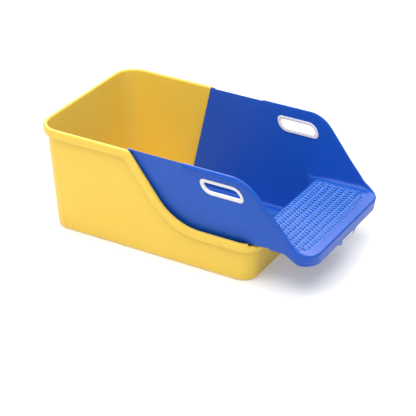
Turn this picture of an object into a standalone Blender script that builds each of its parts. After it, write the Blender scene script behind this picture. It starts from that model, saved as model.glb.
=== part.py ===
"""An open cat litter box in two main mouldings, modelled in metres with +Z up.

A deep tub has a rim that sweeps down towards the entry.  A surround with high sides drops inside
it, rests on the tub floor and carries a step outside the tub's front wall.  A perforated tread
and the catch tray under it lift out of the step, a perforated grate lies in the surround's foot,
and a ring in two halves lines each hand slot.

Axes: X runs from the rear rim to the front of the step, Y across, and the origin is at the
centre of the footprint, on the floor.
"""

import math

import bmesh
import bpy
from mathutils import Vector

# ---- Tub -------------------------------------------------------------------------------------
TUB_LENGTH = 0.670          # over the rim, rear to front
TUB_WIDTH = 0.470           # over the rim
TUB_HEIGHT = 0.306          # floor level to the top of the high rim
TUB_WALL = 0.0025
RIM_FLANGE = 0.013          # how far the rim stands out from the inner wall
SKIRT_DEPTH = 0.024         # how far the rim's skirt hangs down
SKIRT_TUCK = 0.0010         # the skirt leans in by this much at its lower edge
TUB_CORNER = 0.055          # plan radius of the inner wall at the high rim
TUB_CORNER_BASE = 0.042     # the same radius at the floor
TUB_FRONT_CORNER = 0.038    # plan radius of the front corners at the rim
TUB_FILLET = 0.008          # between wall and floor
SIDE_DRAFT = 0.055          # inward lean of the side walls, per metre of depth
REAR_DRAFT = 0.086
FRONT_DRAFT = 0.070
LOW_RIM = 0.1205            # height of the side rim beside the entry
FRONT_RIM = 0.1130          # height of the front rim, which the surround passes over
SWEEP_START = 0.2950        # from the rear rim: where the high rim turns down
SWEEP_END = 0.4285          # from the rear rim: where the sloping rim meets the low rim
SWEEP_TOP_RADIUS = 0.015
SWEEP_LOW_RADIUS = 0.150
STEP_DOWN_LEAD = 6.53       # the rim starts to drop this many degrees before the surround
STEP_DOWN_TURN = 7.0        # crosses it at the front corner, and drops over this turn
RIM_ROUND = 0.0042          # the rim's outer edge is rounded over this depth and width
RIM_INNER_ROUND = 0.0034    # and its inner edge over this depth
RIM_INNER_FLAT = 0.0030     # the rim is level to this distance from the inner wall

# ---- Surround --------------------------------------------------------------------------------
STEP_REACH = 0.159          # how far the step stands out past the tub's front rim
WALL = 0.0024
WALL_TOP = TUB_HEIGHT       # the high sides end level with the high rim
WALL_SIDE_GAP = 0.0010      # between tub and surround at the high rim
WALL_DRAFT = 0.092          # inward lean of the surround's sides, per metre of depth
BACK_EDGE_TOP = 0.289       # from the rear rim: rear edge of the sides, at the top
BACK_EDGE_FOOT = 0.240      # and at the foot
SHOULDER = 0.637            # from the rear rim: where the top edge turns down to the step
SHOULDER_RADIUS = 0.090
SLOPE_FOOT_BACK = 0.040     # from the step's front: where the sloping edge meets the step
SLOPE_FOOT_RADIUS = 0.060
STEP_HEIGHT = 0.127         # top of the step above the floor
STEP_CORNER = 0.050         # plan radius of the step's front corners
LIP_DEPTH = 0.032           # how far the step's lip hangs down at the front
LIP_FLARE = 0.0055          # how far the sides widen towards the lip
FLARE_LENGTH = 0.050        # and over what length they do so
DECK = 0.0026               # thickness of the step's top
RISER_BACK = 0.020          # from the tub's front wall to the riser inside it
RISER_CORNER = 0.030
RIM_CLEARANCE = 0.0035      # over the tub's front rim
LEVEL_RUN = 0.045           # the sides' lower edge is level this far from the riser's corner
DROP_START = 0.062          # past the tub's front, where it turns down to the lip
DROP_RISE = 0.006           # how much it rises by there
LIP_LEVEL = 0.010           # past the front corner's start, where the lip is level
LEVEL_RADIUS = 0.020        # of the lower edge's three turns
DROP_RADIUS = 0.028
LIP_RADIUS = 0.060
FOOT_RUN = 0.060            # how far the lines of the flat side lean back at the riser's foot
STEP_RUN = 0.030            # and at the step's underside
SINK = 0.0002               # how far a joined solid stops short of the face it joins
BEAD_RADIUS = 0.0042        # rolled edge along the top of the sides, on the slope
BEAD_START_SHARE = 0.7      # its radius at the rear, as a share of that
BEAD_START = 0.451          # from the rear rim
HOOK_LENGTH = 0.014         # the ear that sits over the tub's rim at the rear of each side
HOOK_RISE = 0.0030
HOOK_REACH = 0.0065
TAB_TOP = 0.118             # width of the tab under the front lip, at its top
TAB_FOOT = 0.082
TAB_DROP = 0.011
TAB_ROUND = 0.005

# ---- Step inserts ----------------------------------------------------------------------------
FIT = 0.0005                # clearance round everything that lifts out
TOUCH = 0.0003              # gap between pieces that rest on each other
TREAD_REAR_BORDER = 0.004   # from the riser to the tread's opening
TREAD_FRONT_BORDER = 0.030  # from the step's front to the opening
TREAD_SIDE_BORDER = 0.0165
TREAD_CORNER = 0.008
NO_HOLE_CORNER = 0.022      # the front row stops this far from the opening's sides
TREAD = 0.0024              # thickness
LEDGE = 0.006               # width of the ledge that carries the tray
LEDGE_CORNER = 0.0008       # of the opening inside the ledge
LEDGE_THICKNESS = 0.0018
TRAY_FLANGE_GAP = 0.0030    # from the tray's square-cornered flange to the rounded opening
TRAY_WALL = 0.0016
TRAY_DEPTH = 0.022          # deep part, below the tread
TRAY_SHALLOW = 0.0062       # over the tub's rim
TRAY_PAST_RIM = 0.006       # how far past the tub's front the shallow part reaches
CUT_PAST = 0.004            # how far a cutter reaches past each face
HOLE_ROWS = 8               # along X
HOLE_COLUMNS = 29           # along Y
HOLE_LENGTH = 0.0062        # along X
HOLE_WIDTH = 0.0052
HOLE_MARGIN = 0.0070        # from the tread's edge to the first hole's centre

# ---- Foot grate ------------------------------------------------------------------------------
FOOT_BORDER = 0.020         # from the wall or riser to the grate's opening
FOOT_HEIGHT = 0.0040
GRATE = 0.0020
GRATE_ROWS = 10
GRATE_COLUMNS = 10
GRATE_HOLE = 0.012
GRATE_MARGIN = 0.022        # from the grate's edge to the first hole's centre
FOOT_CORNER = 0.012         # of the grate's opening
FOOT_EDGE = 0.0015          # the frame starts this far ahead of the sides' rear foot

# ---- Hand slots ------------------------------------------------------------------------------
GRIP_REAR = 0.499           # from the rear rim to the ring's upper rear corner
GRIP_LENGTH = 0.121
GRIP_HEIGHT = 0.043
GRIP_LEAN = 0.013           # the lower edge lies this much further forward
GRIP_TOP = 0.278            # height of the ring's upper edge
GRIP_SMALL_RADIUS = 0.011
GRIP_LARGE_RADIUS = 0.034
GRIP_BEZEL = 0.009          # from the ring's outer edge to the open slot
GRIP_PLATE = 0.0018         # thickness of each ring on the wall's face
GRIP_SLEEVE = 0.0016
GRIP_CUT = 0.02             # how far the slot's cutter reaches to each side of the wall

# ---- Front badge -----------------------------------------------------------------------------
BADGE_LENGTH = 0.064
BADGE_HEIGHT = 0.0085
BADGE_THICKNESS = 0.0012
BADGE_RISE = 0.003          # how far its middle lies above the tab's middle

# ---- Worked out from the sizes above ---------------------------------------------------------
LENGTH = TUB_LENGTH + STEP_REACH
X_REAR = -LENGTH / 2
X_TUB_FRONT = X_REAR + TUB_LENGTH
X_FRONT = X_REAR + LENGTH
TUB_INNER_TOP = TUB_WIDTH / 2 - RIM_FLANGE
WALL_OUTER_TOP = TUB_INNER_TOP - WALL_SIDE_GAP
X_TUB_FRONT_INNER = X_TUB_FRONT - RIM_FLANGE
X_RISER = X_TUB_FRONT_INNER - RISER_BACK
X_OPEN_REAR = X_RISER + TREAD_REAR_BORDER
X_OPEN_FRONT = X_FRONT - TREAD_FRONT_BORDER
Y_STEP = WALL_OUTER_TOP - WALL_DRAFT * (WALL_TOP - STEP_HEIGHT)
Y_OPEN = Y_STEP - TREAD_SIDE_BORDER
Z_LIP = STEP_HEIGHT - LIP_DEPTH
Z_UNDER_STEP = FRONT_RIM + RIM_CLEARANCE
Z_FOOT = TUB_WALL + TOUCH
DRAFT_ANGLE = math.atan(WALL_DRAFT)
RIM_SIDE_GAP = WALL_SIDE_GAP + (WALL_DRAFT - SIDE_DRAFT) * (TUB_HEIGHT - LOW_RIM)
STEP_DOWN_ANGLE = math.degrees(math.acos(1 - RIM_SIDE_GAP / TUB_FRONT_CORNER)) - STEP_DOWN_LEAD

MODEL = "litter_box"


def clear_scene():
    for old in list(bpy.data.objects):
        bpy.data.objects.remove(old, do_unlink=True)
    for name in (MODEL, "cutters"):
        collection = bpy.data.collections.new(name)
        bpy.context.scene.collection.children.link(collection)


def material(name, colour, roughness):
    mat = bpy.data.materials.new(name)
    mat.use_nodes = True
    shader = mat.node_tree.nodes["Principled BSDF"]
    shader.inputs["Base Color"].default_value = (*colour, 1.0)
    shader.inputs["Roughness"].default_value = roughness
    shader.inputs["Metallic"].default_value = 0.0
    return mat


def add_object(name, mesh, collection=MODEL, mat=None):
    obj = bpy.data.objects.new(name, mesh)
    bpy.data.collections[collection].objects.link(obj)
    if mat is not None:
        mesh.materials.append(mat)
    if collection == "cutters":
        obj.hide_render = True
        obj.display_type = "WIRE"
    return obj


def grid_mesh(name, rows, closing_faces=()):
    """A sheet through rows of points, with any extra faces given as lists of (row, column)."""
    bm = bmesh.new()
    verts = [[bm.verts.new(point) for point in row] for row in rows]
    for lower, upper in zip(verts, verts[1:]):
        for i in range(len(lower) - 1):
            bm.faces.new((lower[i], lower[i + 1], upper[i + 1], upper[i]))
    for face in closing_faces:
        bm.faces.new([verts[row][column] for row, column in face])
    mesh = bpy.data.meshes.new(name)
    bm.to_mesh(mesh)
    bm.free()
    return mesh


def mirror_and_thicken(obj, thickness, side=-1.0):
    """Side is -1 to give the wall behind the sheet's faces and 1 to give it in front."""
    mirror = obj.modifiers.new("Mirror", "MIRROR")
    mirror.use_axis = (False, True, False)
    mirror.merge_threshold = 0.00005
    solid = obj.modifiers.new("Wall", "SOLIDIFY")
    solid.thickness = thickness
    solid.offset = side
    solid.use_even_offset = True


def boolean(obj, other, operation):
    step = obj.modifiers.new(other.name, "BOOLEAN")
    step.operation = operation
    step.solver = "EXACT"
    step.object = other


def rounded(corners, radii, steps=6):
    """An outline through the corners, each turned by an arc of its own radius."""
    points = []
    count = len(corners)
    for i, radius in enumerate(radii):
        here = Vector(corners[i])
        if radius == 0.0:
            points.append(here)
            continue
        back = (Vector(corners[i - 1]) - here).normalized()
        ahead = (Vector(corners[(i + 1) % count]) - here).normalized()
        half_angle = back.angle(ahead) / 2
        centre = here + (back + ahead).normalized() * radius / math.sin(half_angle)
        start = here + back * radius / math.tan(half_angle) - centre
        end = here + ahead * radius / math.tan(half_angle) - centre
        turn = start.angle_signed(end)
        for k in range(steps + 1):
            angle = -turn * k / steps
            swung = Vector((start.x * math.cos(angle) - start.y * math.sin(angle),
                            start.x * math.sin(angle) + start.y * math.cos(angle)))
            points.append(centre + swung)
    return points


def height_on(path, x):
    """The height of a path of (x, z) points at x; the path runs forward."""
    for (x0, z0), (x1, z1) in zip(path, path[1:]):
        if x <= x1:
            return z0 + (z1 - z0) * (x - x0) / (x1 - x0) if x1 > x0 else z1
    return path[-1][1]


def flat_plate(name, outlines, z_low, z_high, collection, mat=None):
    """A flat outline, with any further outlines as holes, extruded between two heights."""
    curve = bpy.data.curves.new(name, "CURVE")
    curve.dimensions = "2D"
    curve.fill_mode = "BOTH"
    curve.extrude = (z_high - z_low) / 2
    for outline in outlines:
        spline = curve.splines.new("POLY")
        spline.points.add(len(outline) - 1)
        for point, (x, y) in zip(spline.points, outline):
            point.co = (x, y, 0.0, 1.0)
        spline.use_cyclic_u = True
    flat = bpy.data.objects.new(name + "_outline", curve)
    bpy.context.scene.collection.objects.link(flat)
    mesh = as_mesh(flat, name)
    for vertex in mesh.vertices:
        vertex.co.z += (z_low + z_high) / 2
    return add_object(name, mesh, collection, mat)


def as_mesh(source, name):
    """The evaluated mesh of a curve object, with its caps welded on, and the curve removed."""
    graph = bpy.context.evaluated_depsgraph_get()
    mesh = bpy.data.meshes.new_from_object(source.evaluated_get(graph))
    mesh.name = name
    mesh.materials.clear()
    bm = bmesh.new()
    bm.from_mesh(mesh)
    bmesh.ops.remove_doubles(bm, verts=bm.verts, dist=0.00002)
    bmesh.ops.recalc_face_normals(bm, faces=bm.faces)
    bm.to_mesh(mesh)
    bm.free()
    bpy.data.objects.remove(source, do_unlink=True)
    return mesh


def rectangle(x0, x1, half_width, radius, steps=4):
    corners = [(x0, -half_width), (x1, -half_width), (x1, half_width), (x0, half_width)]
    return rounded(corners, [radius] * 4, steps)


def box(name, x0, x1, y0, y1, z0, z1):
    bpy.ops.mesh.primitive_cube_add(size=1.0)
    obj = bpy.context.object
    obj.name = name
    for vertex in obj.data.vertices:
        vertex.co.x = x0 if vertex.co.x < 0 else x1
        vertex.co.y = y0 if vertex.co.y < 0 else y1
        vertex.co.z = z0 if vertex.co.z < 0 else z1
    for collection in list(obj.users_collection):
        collection.objects.unlink(obj)
    bpy.data.collections["cutters"].objects.link(obj)
    obj.hide_render = True
    obj.display_type = "WIRE"
    return obj


def cutter_grid(name, xs, ys, length, width, z0, z1):
    """One cutter made of many small blocks, one for each hole."""
    bm = bmesh.new()
    for x in xs:
        for y in ys:
            made = bmesh.ops.create_cube(bm, size=1.0)
            for vertex in made["verts"]:
                vertex.co.x = x + vertex.co.x * length
                vertex.co.y = y + vertex.co.y * width
                vertex.co.z = (z0 + z1) / 2 + vertex.co.z * (z1 - z0)
    mesh = bpy.data.meshes.new(name)
    bm.to_mesh(mesh)
    bm.free()
    return add_object(name, mesh, "cutters")


def spread(low, high, count):
    return [low + (high - low) * i / (count - 1) for i in range(count)]


# ---- Tub -------------------------------------------------------------------------------------
def sweep_path():
    """The side rim seen from the side: high, down in a straight slope, then low."""
    corners = [(X_REAR, TUB_HEIGHT), (X_REAR + SWEEP_START, TUB_HEIGHT),
               (X_REAR + SWEEP_END, LOW_RIM), (X_TUB_FRONT, LOW_RIM)]
    return rounded(corners, [0.0, SWEEP_TOP_RADIUS, SWEEP_LOW_RADIUS, 0.0], 8)


def slope_angle(path, x, reach):
    """The rim's downward angle at x, averaged over a stretch to either side."""
    drop = height_on(path, x - reach) - height_on(path, x + reach)
    return math.atan2(drop, 2 * reach)


def tub_outline(z, out):
    """The inner wall's half outline at height z, moved outward by out, as corner centres."""
    depth = TUB_HEIGHT - z
    x_rear = X_REAR + RIM_FLANGE + REAR_DRAFT * depth - out
    x_front = X_TUB_FRONT_INNER - FRONT_DRAFT * (FRONT_RIM - z) + out
    half = TUB_INNER_TOP - SIDE_DRAFT * depth + out
    share = depth / TUB_HEIGHT
    radius = TUB_CORNER + (TUB_CORNER_BASE - TUB_CORNER) * share + out
    low = (FRONT_RIM - z) / FRONT_RIM
    front_radius = TUB_FRONT_CORNER + (TUB_CORNER_BASE - TUB_FRONT_CORNER) * low + out
    return x_rear, x_front, half, radius, front_radius


def tub_stations():
    """Where the sheet's columns lie: rear wall, corner, side, corner, front wall."""
    path = sweep_path()
    stations = [("rear", 0.0), ("rear", 0.5)]
    stations += [("rear_corner", 15.0 * k) for k in range(7)]
    x_start = X_REAR + RIM_FLANGE + TUB_CORNER
    x_end = X_TUB_FRONT_INNER - TUB_CORNER_BASE - RIM_FLANGE
    near_sweep = [x for x, _ in path if x_start + 0.01 < x < x_end - 0.01]
    slope = (X_REAR + SWEEP_START + 0.026, X_REAR + SWEEP_START + 0.052)
    run_up = (X_REAR + SWEEP_START - 0.035, X_REAR + SWEEP_START - 0.055)
    xs = sorted(set(near_sweep) | set(slope) | set(run_up) | {x_start + 0.09})
    stations += [("side", x) for x in xs]
    corner_angles = (0.0, 15.0, STEP_DOWN_ANGLE, STEP_DOWN_ANGLE + STEP_DOWN_TURN, 52.0, 66.0,
                     78.0, 90.0)
    stations += [("front_corner", angle) for angle in corner_angles]
    stations += [("front", 0.5), ("front", 0.0)]
    return stations


def tub_point(station, z, out, shift_x=0.0):
    kind, value = station
    x_rear, x_front, half, radius, front_radius = tub_outline(z, out)
    if kind == "rear":
        return Vector((x_rear, value * (half - radius), z))
    if kind == "front":
        return Vector((x_front, value * (half - front_radius), z))
    if kind == "side":
        return Vector((value + shift_x, half, z))
    angle = math.radians(value)
    if kind == "rear_corner":
        return Vector((x_rear + radius - radius * math.cos(angle),
                       half - radius + radius * math.sin(angle), z))
    return Vector((x_front - front_radius * (1 - math.sin(angle)),
                   half - front_radius * (1 - math.cos(angle)), z))


def tub():
    path = sweep_path()
    stations = tub_stations()
    # each ring is (how far out, how far below the rim, stretch the slope is averaged over)
    rings = [(RIM_FLANGE - SKIRT_TUCK, SKIRT_DEPTH, 0.040), (RIM_FLANGE, RIM_ROUND, 0.012),
             (RIM_FLANGE - RIM_ROUND * 0.26, RIM_ROUND * 0.29, 0.008),
             (RIM_FLANGE - RIM_ROUND, 0.0, 0.006), (RIM_INNER_FLAT, 0.0, 0.006),
             (RIM_INNER_FLAT * 0.27, RIM_INNER_ROUND * 0.27, 0.006),
             (0.0, RIM_INNER_ROUND, 0.012)]
    z_floor = TUB_WALL
    fillet_top = z_floor + TUB_FILLET
    rows = []
    for out, below, reach in rings:
        row = []
        for station in stations:
            rim, angle = rim_at(station, path, reach)
            depth = below
            if below == SKIRT_DEPTH:
                depth -= max(0.0, LOW_RIM - rim)
            row.append(tub_point(station, rim - depth * math.cos(angle), out,
                                 -depth * math.sin(angle)))
        rows.append(row)
    halfway = [(fillet_top + rim_at(station, path, 0.012)[0]) / 2 for station in stations]
    rows.append([tub_point(station, z, 0.0) for station, z in zip(stations, halfway)])
    for angle in (0.0, 30.0, 60.0, 90.0):
        turn = math.radians(angle)
        z = fillet_top - TUB_FILLET * math.sin(turn)
        inset = TUB_FILLET * (1 - math.cos(turn))
        rows.append([tub_point(station, z, -inset) for station in stations])
    last = len(rows) - 1
    floor = [(last, column) for column in range(len(stations))]
    mesh = grid_mesh("tub", rows, [floor])
    obj = add_object("tub", mesh, mat=material("tub_yellow", (0.88, 0.60, 0.11), 0.35))
    mirror_and_thicken(obj, TUB_WALL, 1.0)
    return obj


def rim_at(station, path, reach):
    """The rim's height and slope at a station of the outline."""
    kind, value = station
    if kind in ("rear", "rear_corner"):
        return TUB_HEIGHT, 0.0
    if kind == "side":
        return height_on(path, value), slope_angle(path, value, reach)
    if kind == "front_corner" and value <= STEP_DOWN_ANGLE:
        return LOW_RIM, 0.0
    return FRONT_RIM, 0.0


# ---- Surround --------------------------------------------------------------------------------
def wall_half_width(z):
    return WALL_OUTER_TOP - WALL_DRAFT * (WALL_TOP - z)


def wall_front(z):
    return X_FRONT + WALL_DRAFT * (z - STEP_HEIGHT)


def flare(x):
    """How far the sides stand wider at x than their flat part, eased in at both ends."""
    share = (x - (X_FRONT - STEP_CORNER - FLARE_LENGTH)) / FLARE_LENGTH
    share = min(max(share, 0.0), 1.0)
    return LIP_FLARE * share * share * (3 - 2 * share)


def top_edge():
    """The sides' top edge seen from the side, from the rear to the step's front."""
    corners = [(X_REAR + BACK_EDGE_TOP, WALL_TOP), (X_REAR + SHOULDER, WALL_TOP),
               (X_FRONT - SLOPE_FOOT_BACK, STEP_HEIGHT), (X_FRONT, STEP_HEIGHT)]
    return rounded(corners, [0.0, SHOULDER_RADIUS, SLOPE_FOOT_RADIUS, 0.0], 8)


def lower_edge():
    """The sides' lower edge ahead of the riser: over the tub's rim, then down to the lip."""
    x_start = X_RISER - RISER_CORNER
    x_lip = X_FRONT - STEP_CORNER + LIP_LEVEL
    corners = [(x_start, Z_UNDER_STEP), (x_start + LEVEL_RUN, Z_UNDER_STEP),
               (X_TUB_FRONT + DROP_START, Z_UNDER_STEP + DROP_RISE), (x_lip, Z_LIP),
               (X_FRONT, Z_LIP)]
    return rounded(corners, [0.0, LEVEL_RADIUS, DROP_RADIUS, LIP_RADIUS, 0.0], 5)


def side_wall_stations():
    """Pairs of lower and upper ends of the lines that make up one flat side."""
    x_lower_start = X_RISER - RISER_CORNER
    x_corner = X_FRONT - STEP_CORNER
    x_foot = X_REAR + BACK_EDGE_FOOT
    top = top_edge()
    low = lower_edge()
    xs_top = [x for x, _ in top if X_REAR + BACK_EDGE_TOP < x < x_corner - 0.004]
    pairs = [((x_foot, Z_FOOT), (X_REAR + BACK_EDGE_TOP, WALL_TOP))]
    pairs.append(((x_lower_start, Z_FOOT), (x_lower_start - FOOT_RUN, WALL_TOP)))
    x_over = x_lower_start - STEP_RUN
    pairs.append(((x_lower_start, Z_UNDER_STEP), (x_over, height_on(top, x_over))))
    xs = [x for x in xs_top if x > x_lower_start + 0.005]
    xs += [x for x, _ in low if x_lower_start + 0.005 < x < x_corner - 0.002]
    for x in sorted(set(round(x, 5) for x in xs)) + [x_corner]:
        pairs.append(((x, height_on(low, x)), (x, height_on(top, x))))
    return pairs


def surround_wall():
    """The outer face of one side and half the lip, as a sheet; mirrored and given its wall."""
    top = top_edge()
    low = lower_edge()
    lower_row = []
    upper_row = []
    for (x_low, z_low), (x_top, z_top) in side_wall_stations():
        lower_row.append(Vector((x_low, wall_half_width(z_low) + flare(x_low), z_low)))
        upper_row.append(Vector((x_top, wall_half_width(z_top) + flare(x_top), z_top)))
    for angle in spread(15.0, 90.0, 6):
        turn = math.radians(angle)
        x = X_FRONT - STEP_CORNER * (1 - math.sin(turn))
        for row, z in ((lower_row, height_on(low, x)), (upper_row, height_on(top, x))):
            half = wall_half_width(z) + LIP_FLARE
            row.append(Vector((wall_front(z) - STEP_CORNER * (1 - math.sin(turn)),
                               half - STEP_CORNER * (1 - math.cos(turn)), z)))
    for row, z in ((lower_row, Z_LIP), (upper_row, STEP_HEIGHT)):
        row.append(Vector((wall_front(z), TAB_TOP / 2, z)))
        row.append(Vector((wall_front(z), 0.0, z)))
    mesh = grid_mesh("surround", [upper_row, lower_row])
    obj = add_object("surround", mesh, mat=material("surround_blue", (0.03, 0.13, 0.62), 0.32))
    mirror_and_thicken(obj, WALL)
    return obj


def riser():
    """The wall that goes down inside the tub's front wall, joined to the sides by round corners."""
    embed = WALL / 2 - 0.0001
    x_start = X_RISER - RISER_CORNER - 0.006
    rows = []
    for z in (STEP_HEIGHT - DECK / 2, Z_FOOT + 0.0004):
        half = wall_half_width(z) - embed
        row = [Vector((x_start, half, z))]
        for angle in spread(0.0, 90.0, 7):
            turn = math.radians(angle)
            row.append(Vector((X_RISER - RISER_CORNER * (1 - math.sin(turn)),
                               half - RISER_CORNER * (1 - math.cos(turn)), z)))
        row.append(Vector((X_RISER, 0.0, z)))
        rows.append(row)
    obj = add_object("riser", grid_mesh("riser", rows), "cutters")
    mirror_and_thicken(obj, WALL - 0.0006)
    return obj


def step_outline(inset, x_back):
    """The step's outline from above: straight, flared, then round at the front corners."""
    radius = STEP_CORNER - inset
    x_corner = X_FRONT - STEP_CORNER
    left = [(x_back, Y_STEP - inset)]
    left += [(x, Y_STEP + flare(x) - inset) for x in spread(x_corner - FLARE_LENGTH, x_corner, 6)]
    for angle in spread(15.0, 90.0, 6):
        turn = math.radians(angle)
        left.append((x_corner + radius * math.sin(turn),
                     Y_STEP + LIP_FLARE - inset - radius * (1 - math.cos(turn))))
    right = [(x, -y) for x, y in reversed(left)]
    return left + right


def deck_parts():
    """The step's top, and the collar under it whose ledge carries the tray."""
    embed = WALL / 2
    z_ledge = STEP_HEIGHT - TREAD - TRAY_WALL - 2 * TOUCH
    inner = rectangle(X_OPEN_REAR + LEDGE, X_OPEN_FRONT - LEDGE, Y_OPEN - LEDGE,
                      LEDGE_CORNER)
    top = flat_plate("deck", [step_outline(embed, X_RISER - WALL / 2), inner],
                     STEP_HEIGHT - SINK - DECK, STEP_HEIGHT - SINK, "cutters")
    collar_outline = rectangle(X_OPEN_REAR - LEDGE_THICKNESS, X_OPEN_FRONT + LEDGE_THICKNESS,
                               Y_OPEN + LEDGE_THICKNESS, TREAD_CORNER + LEDGE_THICKNESS)
    collar = flat_plate("collar", [collar_outline, inner], z_ledge - LEDGE_THICKNESS,
                        STEP_HEIGHT - DECK / 2, "cutters")
    return [top, collar]


def tread_recess():
    opening = rectangle(X_OPEN_REAR, X_OPEN_FRONT, Y_OPEN, TREAD_CORNER)
    z_ledge = STEP_HEIGHT - TREAD - TRAY_WALL - 2 * TOUCH
    return flat_plate("tread_recess", [opening], z_ledge, STEP_HEIGHT + CUT_PAST, "cutters")


def foot_opening(margin):
    half = wall_half_width(Z_FOOT) - WALL - FOOT_BORDER + margin
    return rectangle(X_REAR + BACK_EDGE_FOOT + FOOT_BORDER - margin,
                     X_RISER - FOOT_BORDER + margin, half, FOOT_CORNER + margin)


def foot_frame():
    """The frame in which the grate lies, with a thinner ledge under the grate's edge."""
    half = wall_half_width(Z_FOOT) - WALL / 2
    x_back = X_REAR + BACK_EDGE_FOOT + FOOT_EDGE
    radius = RISER_CORNER - WALL / 2
    corners = [(x_back, -half), (X_RISER - WALL / 2, -half), (X_RISER - WALL / 2, half),
               (x_back, half)]
    outline = rounded(corners, [0.0, radius, radius, 0.0], 6)
    return flat_plate("foot", [outline, foot_opening(-LEDGE)], Z_FOOT + SINK,
                      Z_FOOT + FOOT_HEIGHT, "cutters")


def grate_recess():
    return flat_plate("grate_recess", [foot_opening(0.0)], Z_FOOT + FOOT_HEIGHT - GRATE - TOUCH,
                      Z_FOOT + FOOT_HEIGHT + CUT_PAST, "cutters")


def bead():
    """A round bead along the top edge of one side, from behind the hand slot to the step."""
    curve = bpy.data.curves.new("bead", "CURVE")
    curve.dimensions = "3D"
    curve.bevel_depth = BEAD_RADIUS
    curve.bevel_resolution = 1
    curve.use_fill_caps = True
    top = top_edge()
    xs = [X_REAR + BEAD_START] + [x for x, _ in top if x > X_REAR + BEAD_START + 0.01]
    x_end = X_FRONT - STEP_CORNER
    points = [(x, height_on(top, x)) for x in xs if x < x_end] + [(x_end, height_on(top, x_end))]
    spline = curve.splines.new("POLY")
    spline.points.add(len(points) - 1)
    for point, (x, z) in zip(spline.points, points):
        share = min((x - X_REAR - BEAD_START) / (SHOULDER - BEAD_START), 1.0)
        point.radius = BEAD_START_SHARE + (1 - BEAD_START_SHARE) * share
        radius = BEAD_RADIUS * point.radius
        y = wall_half_width(z) + flare(x) + radius * 0.25
        point.co = (x, y, z - radius * 0.5, 1.0)
    flat = bpy.data.objects.new("bead_path", curve)
    bpy.context.scene.collection.objects.link(flat)
    obj = add_object("bead", as_mesh(flat, "bead"), "cutters")
    mirrored_copy(obj)
    return obj


def mirrored_copy(obj):
    """Adds the same solid on the other side of the centre plane, with its faces turned back."""
    bm = bmesh.new()
    bm.from_mesh(obj.data)
    made = bmesh.ops.duplicate(bm, geom=bm.verts[:] + bm.edges[:] + bm.faces[:])
    verts = [item for item in made["geom"] if isinstance(item, bmesh.types.BMVert)]
    faces = [item for item in made["geom"] if isinstance(item, bmesh.types.BMFace)]
    for vertex in verts:
        vertex.co.y = -vertex.co.y
    bmesh.ops.reverse_faces(bm, faces=faces)
    bm.to_mesh(obj.data)
    bm.free()


def hook():
    """The ear over the tub's rim at the rear of each side."""
    x0 = X_REAR + BACK_EDGE_TOP + 0.001
    z_over = TUB_HEIGHT + 2 * TOUCH
    rise = box("hook", x0, x0 + HOOK_LENGTH, WALL_OUTER_TOP - WALL + 0.0003,
               WALL_OUTER_TOP + HOOK_REACH, z_over, z_over + HOOK_RISE)
    neck = box("hook_neck", x0 + 0.0005, x0 + HOOK_LENGTH - 0.0005,
               WALL_OUTER_TOP - WALL + 0.0005, WALL_OUTER_TOP - 0.0004,
               WALL_TOP - 0.003, z_over + HOOK_RISE / 2)
    mirrored_copy(rise)
    mirrored_copy(neck)
    return [rise, neck]


def tab():
    """A shallow tongue that hangs from the middle of the front lip."""
    z0 = Z_LIP + 0.0012
    outline = [(-TAB_TOP / 2, 0.0), (-TAB_FOOT / 2, -TAB_DROP), (TAB_FOOT / 2, -TAB_DROP),
               (TAB_TOP / 2, 0.0)]
    obj = flat_plate("tab", [rounded(outline, [0.0, TAB_ROUND, TAB_ROUND, 0.0], 3)], 0.0,
                     WALL - 2 * SINK, "cutters")
    x_back = wall_front(z0) - WALL + SINK
    for vertex in obj.data.vertices:
        y, up, out = vertex.co
        vertex.co = (x_back + out + WALL_DRAFT * up, y, z0 + up)
    return obj


def grip_outline(inset):
    """The rounded parallelogram of a hand slot, in along-the-wall and up-the-wall distances."""
    half = GRIP_LENGTH / 2
    tall = GRIP_HEIGHT / 2
    lean = GRIP_LEAN / 2
    cross = inset * 0.95
    corners = [(-half - lean + cross, tall - inset), (half - lean - cross * 1.15, tall - inset),
               (half + lean - cross, -tall + inset), (-half + lean + cross * 1.15, -tall + inset)]
    small = GRIP_SMALL_RADIUS - inset * 0.45
    large = GRIP_LARGE_RADIUS - inset
    return rounded(corners, [small, large, small, large], 5)


def grip_frame(side):
    """Where a hand slot's centre lies on the outer face, and the empty that stands there."""
    z = GRIP_TOP - GRIP_HEIGHT / 2
    x = X_REAR + GRIP_REAR + (GRIP_LENGTH + GRIP_LEAN) / 2
    empty = bpy.data.objects.new("grip_place_" + ("left" if side > 0 else "right"), None)
    bpy.data.collections[MODEL].objects.link(empty)
    empty.location = (x, side * wall_half_width(z), z)
    empty.rotation_euler = (side * -(math.pi / 2 + DRAFT_ANGLE), 0.0, 0.0)
    return empty


def on_wall(outline, side):
    """On the left side the wall's up direction points down the empty's own Y axis."""
    return [(x, -side * y) for x, y in outline]


def grip_slot(empty, side):
    slot = grip_outline(GRIP_BEZEL - GRIP_SLEEVE - FIT)
    obj = flat_plate(empty.name + "_slot", [on_wall(slot, side)], -GRIP_CUT, GRIP_CUT,
                     "cutters")
    obj.parent = empty
    return obj


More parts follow.
